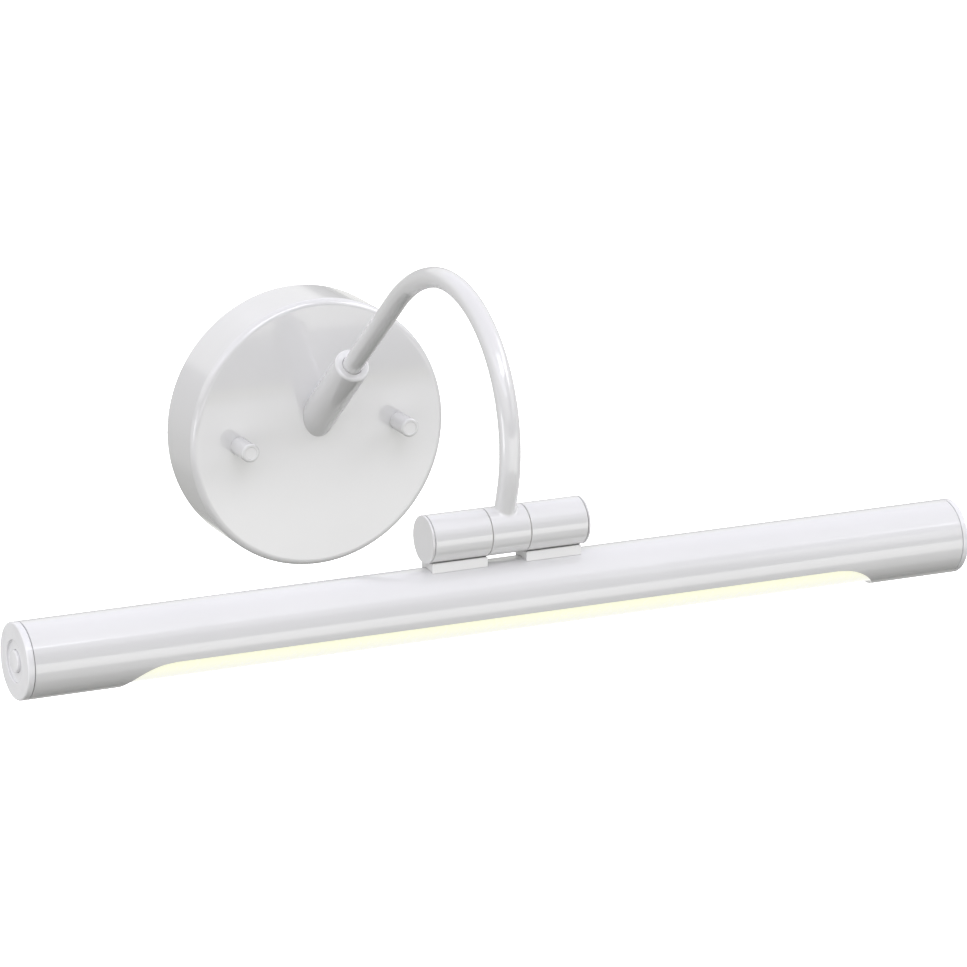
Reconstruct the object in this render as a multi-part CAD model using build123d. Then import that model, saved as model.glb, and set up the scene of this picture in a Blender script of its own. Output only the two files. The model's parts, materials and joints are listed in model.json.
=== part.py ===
from build123d import *
import os
from math import acos, atan2, cos, degrees, hypot, pi, radians, sin

# A wall-mounted picture light: a round canopy on the wall, a curved arm that rises out of an
# oblique socket, and a long tubular LED lamp that tilts in a barrel knuckle at the arm's end.
# Frame, in millimetres: the origin is the centre of the canopy's back, on the wall. +X is to the
# right as seen from the room, +Z is up, and the wall lies on the +Y side, so the lamp reaches -Y.

# Canopy
COVER_RADIUS = 57.5
COVER_DEPTH = 27.0
COVER_WALL = 1.2
COVER_EDGE_RADIUS = 3.0
PLATE_RADIUS = 48.0
PLATE_THICKNESS = 1.5
SLOT_SPACING = 44.0
SLOT_LENGTH = 10.0
SLOT_WIDTH = 4.4
STUD_OFFSET = 36.3
STUD_LINE_TILT = 2.2
STUD_RADIUS = 2.0
STUD_END = -35.0
NUT_RADIUS = 4.0
NUT_LENGTH = 12.0
BUSH_RADIUS = 6.4
CABLE_HOLE_RADIUS = 4.0

# What the canopy holds; a pair is a low and a high limit, or a place as (x, z)
DRIVER_X = (-25.0, 25.0)
DRIVER_Z = (-40.0, -16.0)
DRIVER_TOP = -18.5
DRIVER_WALL = 1.2
DRIVER_SCREWS = [(-29.5, -28.0), (29.5, -28.0)]
TERMINAL_X = (-10.0, 0.0, 10.0)
TERMINAL_Z = (25.0, 37.0)
TERMINAL_SCREW = (0.0, 41.0)
TERMINAL_WIRE_Y = -6.5
EARTH_PLACE = (22.0, 20.0)
CLIP_SCREW = (25.0, -9.5)

# Arm
ARM_RADIUS = 4.25
ARM_BORE_RADIUS = 3.25
ARM_RISE = 41.6
ARM_FOOT_HEIGHT = 8.6
ARM_STRAIGHT = 99.2
ARM_REAR_BEND = 80.6
ARM_REAR_TURN = 27.0
ARM_FRONT_BEND = 57.1
ARM_ENTRY = 18.0
SOCKET_RADIUS = 7.5
SOCKET_LENGTH = 44.0
SOCKET_BORE_RADIUS = 2.7
SPIGOT_RADIUS = 5.0
SPIGOT_END = -17.5
GRIP_ALONG = 32.0

# Knuckle: one barrel on the arm's end between two that carry the lamp
REACH = 200.0
KNUCKLE_Z = 6.5
BARREL_RADIUS = 9.5
CENTRE_HALF = 8.1
SIDE_START = 8.5
SIDE_END = 34.0
BARREL_CAP_RIM = 0.8
NECK_LENGTH = 12.5
WELD_RADIUS = 1.2
PIVOT_RADIUS = 4.0
PIVOT_BORE_RADIUS = 2.3
PIVOT_HALF = 20.5
SHOULDER = 14.0
CHAMBER_RADIUS = 7.5
SADDLE_START = 8.3
SADDLE_END = 32.2
SADDLE_WIDTH = 10.0
SADDLE_SCREWS = (11.0, 20.5)

# Lamp
LAMP_Z = -20.5
LAMP_RADIUS = 15.0
LAMP_BORE_RADIUS = 14.0
TUBE_HALF = 200.0
RIB_Z = 5.2
RIB_GAP = 8.6
WINDOW_DROP = 3.85
WINDOW_HALF = 168.0
WINDOW_CORNER = 25.0
CAP_THICKNESS = 3.0
CAP_RECESS_RADIUS = 8.2
CAP_RECESS_DEPTH = 1.0
BUTTON_RADIUS = 4.3
BUTTON_DEPTH = 9.0
BUTTON_TRAVEL = 1.5
SWITCH_RADIUS = 6.6
SWITCH_LENGTH = 14.0
DIFFUSER_RADIUS = 13.8
DIFFUSER_WALL = 1.3
DIFFUSER_HALF = 174.0
DIFFUSER_TOP = RIB_Z - 0.8
BAR_HALF = 174.0
BAR_Z = (RIB_Z + 1.05, RIB_Z + 4.05)
BOARD_HALF = 165.0
BOARD_Z = (RIB_Z + 0.05, RIB_Z + 1.05)
BOARD_SCREWS = (-153.0, -54.0, 54.0, 153.0)
LED_PITCH = 9.0
LED_COUNT = 36

# Wiring and fits
FLEX_RADIUS = 1.4
FLEX_RISE_X = 17.0
FLEX_LAY_Y = -6.0
FLEX_SPLIT = 12.0
FLEX_DROP = 28.0
LEAD_RADIUS = 0.8
LEAD_DRIVER_X = (-21.0, -17.5)
BOARD_LEAD_X = -63.0
CONNECTOR_X = (-56.0, -42.0)
CONNECTOR_Z = (BAR_Z[1] + 0.02, BAR_Z[1] + 4.0)
WIRE_Z = BAR_Z[1] + 1.9
CLEARANCE = 0.05

parts = {}


# ---------------------------------------------------------------- shape helpers
def rod(radius, start, end):
    """A round bar between two points."""
    start, end = Vector(*start), Vector(*end)
    return extrude(Plane(start, z_dir=end - start) * Circle(radius), (end - start).length)


def tube(outer, inner, start, end):
    """A round bar with a bore through it."""
    return rod(outer, start, end) - rod(inner, start, end)


def hex_bar(flats, start, end):
    """A six-sided bar, measured across its flats."""
    start, end = Vector(*start), Vector(*end)
    outline = RegularPolygon(flats / 2, 6, major_radius=False)
    return extrude(Plane(start, z_dir=end - start) * outline, (end - start).length)


def block(x, y, z):
    """A rectangular block from three (low, high) pairs."""
    size = (x[1] - x[0], y[1] - y[0], z[1] - z[0])
    centre = ((x[0] + x[1]) / 2, (y[0] + y[1]) / 2, (z[0] + z[1]) / 2)
    return Pos(*centre) * Box(*size)


def edges_on(solid, axis, place):
    """The edges that lie flat at one place along an axis."""
    return solid.edges().filter_by_position(axis, place - 1e-3, place + 1e-3)


def pan_screw(head_radius, head_height, shank_radius, seat, tip, recess=0.6):
    """A pan-head screw: its head sits at seat and its shank runs to tip."""
    seat, tip = Vector(*seat), Vector(*tip)
    out = (seat - tip).normalized()
    top = seat + out * head_height
    head = rod(head_radius, seat, top)
    rim = head.edges().sort_by(lambda e: (e.center() - top).length)[0]
    head = fillet(rim, head_height * 0.45)
    drive = rod(head_radius * 0.35, top, top - out * (head_height * recess))
    return head - drive + rod(shank_radius, tip, seat)


def sweep_round(path, radius):
    """A round cord or bar along a path of runs and arcs."""
    start = Plane(path @ 0, z_dir=path % 0)
    return sweep(start * Circle(radius), path=path)


# ---------------------------------------------------------------- the arm's line
def arm_point(reach, height):
    """A point on the arm's plane, from its distance off the wall and its height."""
    return Vector(0, -reach, height)


def arm_line(start_along, end_off_axis):
    """The arm's centre line: a rising straight, two bends and a last run into the knuckle.

    start_along is measured up the straight from the canopy's face, and end_off_axis back
    from the knuckle's axis.
    """
    rise = radians(ARM_RISE)
    foot = (COVER_DEPTH, ARM_FOOT_HEIGHT)
    first = (foot[0] + start_along * cos(rise), foot[1] + start_along * sin(rise))
    bend = (foot[0] + ARM_STRAIGHT * cos(rise), foot[1] + ARM_STRAIGHT * sin(rise))
    rear_centre = (bend[0] + ARM_REAR_BEND * sin(rise), bend[1] - ARM_REAR_BEND * cos(rise))
    slope = rise - radians(ARM_REAR_TURN)

    def on_bend(centre, radius, angle):
        return (centre[0] - radius * sin(angle), centre[1] + radius * cos(angle))

    crest = on_bend(rear_centre, ARM_REAR_BEND, slope)
    rear_middle = on_bend(rear_centre, ARM_REAR_BEND, (rise + slope) / 2)
    front_centre = (crest[0] + ARM_FRONT_BEND * sin(slope), crest[1] - ARM_FRONT_BEND * cos(slope))
    to_axis = (REACH - front_centre[0], KNUCKLE_Z - front_centre[1])
    leave = atan2(to_axis[1], to_axis[0]) + acos(ARM_FRONT_BEND / hypot(*to_axis)) - pi / 2
    last = on_bend(front_centre, ARM_FRONT_BEND, leave)
    front_middle = on_bend(front_centre, ARM_FRONT_BEND, (slope + leave) / 2)
    end = (REACH - end_off_axis * cos(leave), KNUCKLE_Z - end_off_axis * sin(leave))
    return Wire(
        [
            Line(arm_point(*first), arm_point(*bend)).edge(),
            ThreePointArc(arm_point(*bend), arm_point(*rear_middle), arm_point(*crest)).edge(),
            ThreePointArc(arm_point(*crest), arm_point(*front_middle), arm_point(*last)).edge(),
            Line(arm_point(*last), arm_point(*end)).edge(),
        ]
    )


FACE_Y = -COVER_DEPTH
INNER_FACE_Y = FACE_Y + COVER_WALL
ARM_DIRECTION = Vector(0, -cos(radians(ARM_RISE)), sin(radians(ARM_RISE)))
ARM_FOOT = Vector(0, FACE_Y, ARM_FOOT_HEIGHT)
KNUCKLE = Vector(0, -REACH, KNUCKLE_Z)
NECK_DIRECTION = (arm_line(ARM_ENTRY, NECK_LENGTH) @ 1 - KNUCKLE).normalized()


def up_arm(distance):
    """A point on the arm's first straight, measured from the canopy's face."""
    return ARM_FOOT + ARM_DIRECTION * distance


def at_knuckle(x, y=0.0, z=0.0):
    """A point given from the knuckle's axis."""
    return (x, -REACH + y, KNUCKLE_Z + z)


def in_lamp(x, y=0.0, z=0.0):
    """A point given from the lamp tube's axis."""
    return (x, -REACH + y, LAMP_Z + z)


def stud_place(side):
    """Where the stud on the left (-1) or the right (+1) stands, as (x, z)."""
    tilt = radians(STUD_LINE_TILT)
    return side * STUD_OFFSET * cos(tilt), side * STUD_OFFSET * sin(tilt)


# ---------------------------------------------------------------- canopy
def make_cover():
    """The drawn cover: a shallow round cup that is open towards the wall."""
    outer = rod(COVER_RADIUS, (0, 0, 0), (0, FACE_Y, 0))
    outer = fillet(edges_on(outer, Axis.Y, FACE_Y), COVER_EDGE_RADIUS)
    inner = rod(COVER_RADIUS - COVER_WALL, (0, 0, 0), (0, INNER_FACE_Y, 0))
    inner = fillet(edges_on(inner, Axis.Y, INNER_FACE_Y), COVER_EDGE_RADIUS - COVER_WALL)
    cover = outer - inner
    cover -= rod(SPIGOT_RADIUS + 0.2, (0, 0, ARM_FOOT_HEIGHT), (0, FACE_Y - 1, ARM_FOOT_HEIGHT))
    for side in (-1, 1):
        x, z = stud_place(side)
        cover -= rod(STUD_RADIUS + 0.3, (x, 0, z), (x, FACE_Y - 1, z))
    return cover


def make_wall_plate():
    """The round plate that is screwed to the wall and carries the studs."""
    plate = rod(PLATE_RADIUS, (0, 0, 0), (0, -PLATE_THICKNESS, 0))
    plate -= rod(BUSH_RADIUS + CLEARANCE, (0, 1, 0), (0, -5, 0))
    for side in (-1, 1):
        slot = Plane.XZ * Pos(side * SLOT_SPACING / 2, 0) * SlotOverall(SLOT_LENGTH, SLOT_WIDTH)
        plate -= extrude(slot, 5, both=True)
        x, z = stud_place(side)
        plate -= rod(STUD_RADIUS + CLEARANCE, (x, 1, z), (x, -5, z))
    for x, z in DRIVER_SCREWS + [TERMINAL_SCREW, EARTH_PLACE, CLIP_SCREW]:
        plate -= rod(1.5 + CLEARANCE, (x, 1, z), (x, -5, z))
    return plate


def make_studs():
    """Two long studs, each with a flat head let into the plate."""
    studs = []
    for side in (-1, 1):
        x, z = stud_place(side)
        stud = rod(STUD_RADIUS, (x, -0.1, z), (x, STUD_END, z))
        stud = chamfer(edges_on(stud, Axis.Y, STUD_END), 0.4)
        studs.append(stud + rod(3.0, (x, -PLATE_THICKNESS, z), (x, -PLATE_THICKNESS - 1, z)))
    return studs


def make_thumb_nut(side):
    """A plain round thumb nut with a blind bore and a softened outer end."""
    x, z = stud_place(side)
    seat = FACE_Y - CLEARANCE
    end = seat - NUT_LENGTH
    nut = rod(NUT_RADIUS, (x, seat, z), (x, end, z))
    nut = fillet(edges_on(nut, Axis.Y, end), 0.9)
    return nut - rod(STUD_RADIUS + CLEARANCE, (x, seat, z), (x, STUD_END - 1, z))


def make_cable_bush():
    """The nylon bush that the supply cable comes through, flush with the wall."""
    bush = rod(BUSH_RADIUS, (0, -0.1, 0), (0, -5, 0))
    bush += rod(8.0, (0, -PLATE_THICKNESS, 0), (0, -PLATE_THICKNESS - 1.3, 0))
    bush = fillet(edges_on(bush, Axis.Y, -5), 0.8)
    return bush - rod(CABLE_HOLE_RADIUS, (0, 1, 0), (0, -6, 0))


def make_driver():
    """The LED driver: a screwed-down base, a deep cover and the board between them."""
    base_y = (-PLATE_THICKNESS - 1.6, -PLATE_THICKNESS)
    base = block(DRIVER_X, base_y, DRIVER_Z)
    for x, z in DRIVER_SCREWS:
        side = 1 if x > 0 else -1
        ear = block(sorted((side * 20, side * 33)), base_y, (z - 4, z + 4))
        base += fillet(ear.edges().filter_by(Axis.Y), 1.5)
        base -= rod(1.6, (x, 0, z), (x, -5, z))
    for x in (-20, 20):
        for z in (-36.5, -19.5):
            base += rod(1.2, (x, base_y[0], z), (x, base_y[0] - 2.4, z))
    case = block(DRIVER_X, (DRIVER_TOP, base_y[0]), DRIVER_Z)
    case = fillet(case.edges().filter_by(Axis.Y), 1.5)
    case = fillet(edges_on(case, Axis.Y, DRIVER_TOP), 0.8)
    case -= block(
        (DRIVER_X[0] + DRIVER_WALL, DRIVER_X[1] - DRIVER_WALL),
        (DRIVER_TOP + DRIVER_WALL, base_y[0] + 1),
        (DRIVER_Z[0] + DRIVER_WALL, DRIVER_Z[1] - DRIVER_WALL),
    )
    wire_holes = [(FLEX_RISE_X, FLEX_RADIUS + 0.1)] + [(x, 0.9) for x in LEAD_DRIVER_X]
    for x, radius in wire_holes:
        case -= rod(radius, (x, FLEX_LAY_Y, DRIVER_Z[1] - 4), (x, FLEX_LAY_Y, DRIVER_Z[1] + 1))
    board_y = (base_y[0] - 3.6, base_y[0] - 2.4)
    board = block((-22.5, 22.5), board_y, (-37.8, -20.0))
    transformer = block((-8, 6), (board_y[0] - 9, board_y[0]), (-35, -23))
    transformer = fillet(transformer.edges().filter_by(Axis.Y), 1.2)
    transformer += block((-9, 7), (board_y[0] - 6.5, board_y[0] - 2.5), (-33, -25))
    capacitors = []
    for x in (-17.0, 15.0):
        can = rod(4.0, (x, board_y[0], -30), (x, board_y[0] - 9, -30))
        capacitors.append(fillet(edges_on(can, Axis.Y, board_y[0] - 9), 0.6))
    screws = []
    for x, z in DRIVER_SCREWS:
        screws.append(pan_screw(2.8, 2.0, 1.5, (x, base_y[0], z), (x, -0.2, z)))
    parts["driver_base"] = base
    parts["driver_case"] = case
    parts["driver_board"] = board
    parts["driver_transformer"] = transformer
    parts["driver_capacitors"] = capacitors
    parts["driver_screws"] = screws


def make_terminals():
    """A three-pole terminal block with brass inserts and two wire screws for each pole."""
    body_y = (-PLATE_THICKNESS - 12, -PLATE_THICKNESS)
    body = block((-15, 15), body_y, TERMINAL_Z)
    body = fillet(body.edges().filter_by(Axis.Y), 1.0)
    foot = block((-4, 4), (-PLATE_THICKNESS - 3, -PLATE_THICKNESS), (30, 44.5))
    body += foot
    body -= rod(1.6, (TERMINAL_SCREW[0], 0, TERMINAL_SCREW[1]), (0, -6, TERMINAL_SCREW[1]))
    wire_y = TERMINAL_WIRE_Y
    inserts, screws = [], []
    for x in TERMINAL_X:
        body -= rod(2.6, (x, wire_y, TERMINAL_Z[0] - 1), (x, wire_y, TERMINAL_Z[1] + 1))
        insert = rod(2.5, (x, wire_y, TERMINAL_Z[0] + 1), (x, wire_y, TERMINAL_Z[1] - 1))
        insert -= rod(1.5, (x, wire_y, TERMINAL_Z[0]), (x, wire_y, TERMINAL_Z[1]))
        for z in (28.0, 34.0):
            body -= rod(1.7, (x, wire_y, z), (x, body_y[0] - 1, z))
            insert -= rod(1.3, (x, wire_y, z), (x, body_y[0], z))
            screw = rod(1.25, (x, wire_y - 1.6, z), (x, body_y[0] + 1, z))
            slit = block((x - 1.5, x + 1.5), (body_y[0], body_y[0] + 1.6), (z - 0.25, z + 0.25))
            screws.append(screw - slit)
        inserts.append(insert)
    x, z = TERMINAL_SCREW
    parts["terminal_block"] = body
    parts["terminal_inserts"] = inserts
    parts["terminal_screws"] = screws
    seat = -PLATE_THICKNESS - 3
    parts["terminal_fixing_screw"] = pan_screw(2.6, 1.8, 1.5, (x, seat, z), (x, -0.2, z))


def make_leads():
    """The wires between the terminal block, the driver and the earth screw."""
    supply = []
    for start_x, side_x, end_x in ((-10.0, -34.0, -21.0), (0.0, -30.5, -17.5)):
        points = [
            (start_x, TERMINAL_WIRE_Y, TERMINAL_Z[0] + 0.5),
            (start_x, TERMINAL_WIRE_Y, 19.0 if start_x < -5 else 16.0),
            (side_x + 8, -10.0, 12.0),
            (side_x + 10, -10.0, -6.0),
            (end_x, FLEX_LAY_Y, -11.0),
            (end_x, FLEX_LAY_Y, DRIVER_Z[1] - 1.0),
        ]
        supply.append(sweep_round(FilletPolyline(*points, radius=[2.2, 5, 5, 2.2]), LEAD_RADIUS))
    x, z = EARTH_PLACE
    points = [
        (TERMINAL_X[2], TERMINAL_WIRE_Y, TERMINAL_Z[0] + 0.5),
        (TERMINAL_X[2], TERMINAL_WIRE_Y, 20.0),
        (13.0, -4.0, 16.0),
        (x - 6.5, -PLATE_THICKNESS - 1.4, z - 3),
        (x - 2.8, -PLATE_THICKNESS - 1.4, z),
    ]
    parts["supply_leads"] = supply
    parts["earth_lead"] = sweep_round(FilletPolyline(*points, radius=[1.6, 1.6, 1.6]), LEAD_RADIUS)
    eyelet = tube(3.2, 1.65, (x, -PLATE_THICKNESS, z), (x, -PLATE_THICKNESS - 0.5, z))
    parts["earth_eyelet"] = eyelet
    seat = -PLATE_THICKNESS - 0.5
    parts["earth_screw"] = pan_screw(2.4, 2.0, 1.5, (x, seat, z), (x, -0.2, z))


def make_flex_clip():
    """The clip that holds the lamp's flex to the plate, and its screw."""
    x, z = CLIP_SCREW
    seat = -PLATE_THICKNESS - 2.0
    clip = block((FLEX_RISE_X - 3, x + 3.5), (seat, -PLATE_THICKNESS), (z - 3, z + 3))
    hoop = rod(3.2, (FLEX_RISE_X, FLEX_LAY_Y, z - 3), (FLEX_RISE_X, FLEX_LAY_Y, z + 3))
    hoop += block((FLEX_RISE_X - 3, FLEX_RISE_X + 3), (FLEX_LAY_Y, seat), (z - 3, z + 3))
    clip += hoop
    hole_ends = [(FLEX_RISE_X, FLEX_LAY_Y, z + dz) for dz in (-4, 4)]
    clip -= rod(FLEX_RADIUS + 0.02, *hole_ends)
    clip -= rod(1.6, (x, 0, z), (x, -5, z))
    parts["flex_clip"] = clip
    parts["flex_clip_screw"] = pan_screw(2.4, 1.8, 1.5, (x, seat, z), (x, -0.2, z))


# ---------------------------------------------------------------- arm
def make_socket():
    """The oblique socket: it stands on the canopy's face and grips the arm's lower end."""
    behind = ARM_FOOT - ARM_DIRECTION * 14
    body = rod(SOCKET_RADIUS, behind, up_arm(SOCKET_LENGTH))
    body -= block((-30, 30), (FACE_Y, 20), (-40, 60))
    rim = body.edges().sort_by(lambda e: (e.center() - up_arm(SOCKET_LENGTH)).length)[0]
    body = fillet(rim, 1.1)
    spigot_foot = (0, FACE_Y, ARM_FOOT_HEIGHT)
    body += rod(SPIGOT_RADIUS, spigot_foot, (0, SPIGOT_END, ARM_FOOT_HEIGHT))
    body -= rod(ARM_RADIUS + CLEARANCE, up_arm(ARM_ENTRY), up_arm(SOCKET_LENGTH + 2))
    body -= rod(SOCKET_BORE_RADIUS, ARM_FOOT - ARM_DIRECTION * 1.5, up_arm(ARM_ENTRY + 1))
    spigot_ends = [(0, y, ARM_FOOT_HEIGHT) for y in (FACE_Y - 1.5, SPIGOT_END + 1)]
    body -= rod(SOCKET_BORE_RADIUS, *spigot_ends)
    grip = up_arm(GRIP_ALONG)
    return body - rod(1.5 + CLEARANCE, grip, grip + Vector(12, 0, 0))


def make_grub_screw():
    """The socket's grub screw, on the right-hand side."""
    grip = up_arm(GRIP_ALONG)
    tip = grip + Vector(ARM_RADIUS + CLEARANCE, 0, 0)
    end = grip + Vector(SOCKET_RADIUS - 0.5, 0, 0)
    return rod(1.5, tip, end) - hex_bar(1.5, end - Vector(1.6, 0, 0), end + Vector(1, 0, 0))


def make_arm():
    """The bent arm tube, as a bar with its bore cut along the same line."""
    arm = sweep_round(arm_line(ARM_ENTRY, NECK_LENGTH), ARM_RADIUS)
    return arm - sweep_round(arm_line(ARM_ENTRY, NECK_LENGTH), ARM_BORE_RADIUS)


def make_arm_flex():
    """The flex, from the driver up through the socket and the arm to the knuckle's pivot."""
    inside = [
        (FLEX_RISE_X, FLEX_LAY_Y, DRIVER_Z[1] - 1.0),
        (FLEX_RISE_X, FLEX_LAY_Y, 1.0),
        (0, FLEX_LAY_Y + 1, ARM_FOOT_HEIGHT),
        (0, FACE_Y, ARM_FOOT_HEIGHT),
        up_arm(ARM_ENTRY),
    ]
    tail = FilletPolyline(*inside, radius=[5.5, 7.0, 12.0])
    turn = KNUCKLE + NECK_DIRECTION * NECK_LENGTH
    entry = FilletPolyline(turn, KNUCKLE, at_knuckle(-FLEX_SPLIT), radius=3.0)
    route = tail.edges() + arm_line(ARM_ENTRY, NECK_LENGTH).edges() + entry.edges()
    return sweep_round(Wire(route), FLEX_RADIUS)


# ---------------------------------------------------------------- knuckle
def make_centre_barrel():
    """The barrel that is welded to the arm, with the short neck that the arm meets."""
    barrel = rod(BARREL_RADIUS, at_knuckle(-CENTRE_HALF), at_knuckle(CENTRE_HALF))
    barrel = chamfer(barrel.edges().filter_by(GeomType.CIRCLE), 0.3)
    neck = rod(ARM_RADIUS, KNUCKLE, KNUCKLE + NECK_DIRECTION * NECK_LENGTH)
    welded = barrel + neck
    welded = fillet(new_edges(barrel, neck, combined=welded), WELD_RADIUS)
    welded -= rod(PIVOT_RADIUS + 0.02, at_knuckle(-20), at_knuckle(20))
    return welded - rod(FLEX_RADIUS + 0.5, KNUCKLE, KNUCKLE + NECK_DIRECTION * 30)


def make_pivot_tube():
    """The hollow pivot that both lamp barrels turn on."""
    pivot = tube(PIVOT_RADIUS, PIVOT_BORE_RADIUS, at_knuckle(-PIVOT_HALF), at_knuckle(PIVOT_HALF))
    return pivot - rod(FLEX_RADIUS + 0.5, KNUCKLE, KNUCKLE + NECK_DIRECTION * 6)


def make_side_barrel(side):
    """A lamp barrel: a running bore, a shoulder for the nut and an open chamber beyond."""
    start, end = side * SIDE_START, side * (SIDE_END - BARREL_CAP_RIM)
    barrel = rod(BARREL_RADIUS, at_knuckle(start), at_knuckle(end))
    barrel = chamfer(edges_on(barrel, Axis.X, start), 0.3)
    barrel -= rod(PIVOT_RADIUS + CLEARANCE, at_knuckle(start), at_knuckle(side * 20))
    barrel -= rod(CHAMBER_RADIUS, at_knuckle(side * SHOULDER), at_knuckle(side * SIDE_END))
    for x in SADDLE_SCREWS:
        barrel -= rod(1.5 + CLEARANCE, at_knuckle(side * x, z=-4.5), at_knuckle(side * x, z=-12))
    if side < 0:
        barrel -= rod(FLEX_RADIUS + 0.3, at_knuckle(-FLEX_DROP), at_knuckle(-FLEX_DROP, z=-12))
    return barrel


def make_barrel_cap(side):
    """The flat cap that closes a lamp barrel's outer end."""
    seam, end = side * (SIDE_END - BARREL_CAP_RIM), side * SIDE_END
    cap = rod(BARREL_RADIUS, at_knuckle(seam), at_knuckle(end))
    cap = fillet(edges_on(cap, Axis.X, end), 0.3)
    plug = rod(CHAMBER_RADIUS - CLEARANCE, at_knuckle(seam - side * 2.5), at_knuckle(seam))
    return cap + plug


def on_both_sides(make):
    """The same piece made for the left and the right, as a list of solids."""
    return [make(side) for side in (-1, 1)]


def make_friction_washer(side):
    return tube(8.6, PIVOT_RADIUS + 0.15, at_knuckle(side * 8.15), at_knuckle(side * 8.48))


def make_spring_washer(side):
    inner, outer = side * (SHOULDER + CLEARANCE), side * (SHOULDER + 0.9)
    washer = tube(6.8, PIVOT_RADIUS + 0.1, at_knuckle(inner), at_knuckle(outer))
    return chamfer(edges_on(washer, Axis.X, outer), 0.3)


def make_pivot_nut(side):
    inner, outer = side * (SHOULDER + 0.95), side * (SHOULDER + 4.0)
    nut = hex_bar(11.0, at_knuckle(inner), at_knuckle(outer))
    return nut - rod(PIVOT_RADIUS + 0.02, at_knuckle(inner), at_knuckle(outer))


def make_saddle(side):
    """The block between a barrel and the lamp tube, hollowed to fit both."""
    width = (-REACH - SADDLE_WIDTH / 2, -REACH + SADDLE_WIDTH / 2)
    long = sorted((side * SADDLE_START, side * SADDLE_END))
    saddle = block(long, width, (LAMP_Z, KNUCKLE_Z))
    saddle -= rod(BARREL_RADIUS + 0.01, at_knuckle(-60), at_knuckle(60))
    saddle -= rod(LAMP_RADIUS + 0.01, in_lamp(-60), in_lamp(60))
    for x in SADDLE_SCREWS:
        saddle -= rod(1.6, at_knuckle(side * x), in_lamp(side * x))
    if side < 0:
        saddle -= rod(FLEX_RADIUS + 0.3, at_knuckle(-FLEX_DROP), in_lamp(-FLEX_DROP))
    return saddle


def make_saddle_screws(side):
    """The screws that come up from inside the lamp tube into a barrel."""
    screws = []
    for x, tip in zip(SADDLE_SCREWS, (-4.9, -7.7)):
        seat = in_lamp(side * x, z=LAMP_BORE_RADIUS - 0.4)
        screws.append(pan_screw(2.6, 1.8, 1.5, seat, at_knuckle(side * x, z=tip)))
    return screws


# ---------------------------------------------------------------- lamp
def lamp_section(outline, half):
    """An outline in the lamp's cross-section (y, z), drawn out along its length."""
    plane = Plane(in_lamp(-half), x_dir=(0, 1, 0), z_dir=(1, 0, 0))
    return extrude(plane * outline, 2 * half)


def lamp_block(half, half_width, z):
    """A block along the lamp, centred on it, between two heights above its axis."""
    width = (-REACH - half_width, -REACH + half_width)
    return block((-half, half), width, (LAMP_Z + z[0], LAMP_Z + z[1]))


def make_lamp_tube():
    """The extruded tube, with its inner ribs and the long window cut out of its underside."""
    ring = Circle(LAMP_RADIUS) - Circle(LAMP_BORE_RADIUS)
    ribs = Circle(LAMP_RADIUS - 0.2) & Pos(0, RIB_Z + 0.5) * Rectangle(40, 1.0)
    ribs -= Rectangle(2 * RIB_GAP, 40)
    body = lamp_section(ring + ribs, TUBE_HALF)
    outline = Pos(0, -WINDOW_DROP - 30) * RectangleRounded(2 * WINDOW_HALF, 60, WINDOW_CORNER)
    window = Plane(in_lamp(0), x_dir=(1, 0, 0), z_dir=(0, -1, 0)) * outline
    body -= extrude(window, 20, both=True)
    for side in (-1, 1):
        for x in SADDLE_SCREWS:
            body -= rod(1.6, in_lamp(side * x), in_lamp(side * x, z=20))
        ends = sorted((side * (TUBE_HALF - 6), side * (TUBE_HALF + 1)))
        body -= rod(LAMP_BORE_RADIUS, in_lamp(ends[0]), in_lamp(ends[1]))
    return body - rod(FLEX_RADIUS + 0.3, in_lamp(-FLEX_DROP), in_lamp(-FLEX_DROP, z=20))


def make_heat_sink_bar():
    """The aluminium bar that lies on the tube's ribs and takes the board's heat."""
    bar = lamp_block(BAR_HALF, 9.5, BAR_Z)
    bar = chamfer(bar.edges().filter_by(Axis.X), 0.4)
    for x in BOARD_SCREWS:
        bar -= rod(1.25 + CLEARANCE, in_lamp(x), in_lamp(x, z=20))
    return bar - rod(1.4, in_lamp(BOARD_LEAD_X), in_lamp(BOARD_LEAD_X, z=20))


def make_board():
    """The LED board, under the bar."""
    board = lamp_block(BOARD_HALF, 6, BOARD_Z)
    for x in BOARD_SCREWS:
        board -= rod(1.35, in_lamp(x), in_lamp(x, z=20))
    return board - rod(1.4, in_lamp(BOARD_LEAD_X), in_lamp(BOARD_LEAD_X, z=20))


def make_leds():
    """The row of surface-mounted LEDs, at an even pitch."""
    bottom = LAMP_Z + BOARD_Z[0] - 0.8
    first = -LED_PITCH * (LED_COUNT - 1) / 2
    led = block((first - 1.75, first + 1.75), (-REACH - 1.4, -REACH + 1.4), (bottom, bottom + 0.8))
    return [Pos(i * LED_PITCH, 0, 0) * led for i in range(LED_COUNT)]


def make_board_screws():
    screws = []
    for x in BOARD_SCREWS:
        seat, tip = in_lamp(x, z=BOARD_Z[0]), in_lamp(x, z=BAR_Z[1] - 0.3)
        screws.append(pan_screw(2.1, 1.4, 1.25, seat, tip))
    return screws


def make_diffuser():
    """The opal diffuser: a trough that fills the tube's underside and clips below the ribs."""
    ring = Circle(DIFFUSER_RADIUS) - Circle(DIFFUSER_RADIUS - DIFFUSER_WALL)
    below = Pos(0, DIFFUSER_TOP - 20) * Rectangle(60, 40)
    body = lamp_section(ring & below, DIFFUSER_HALF)
    ends = lamp_section(Circle(DIFFUSER_RADIUS - 0.5) & below, DIFFUSER_HALF)
    inner = lamp_section(Circle(DIFFUSER_RADIUS - 0.5) & below, DIFFUSER_HALF - 1.5)
    return body + (ends - inner)


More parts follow.
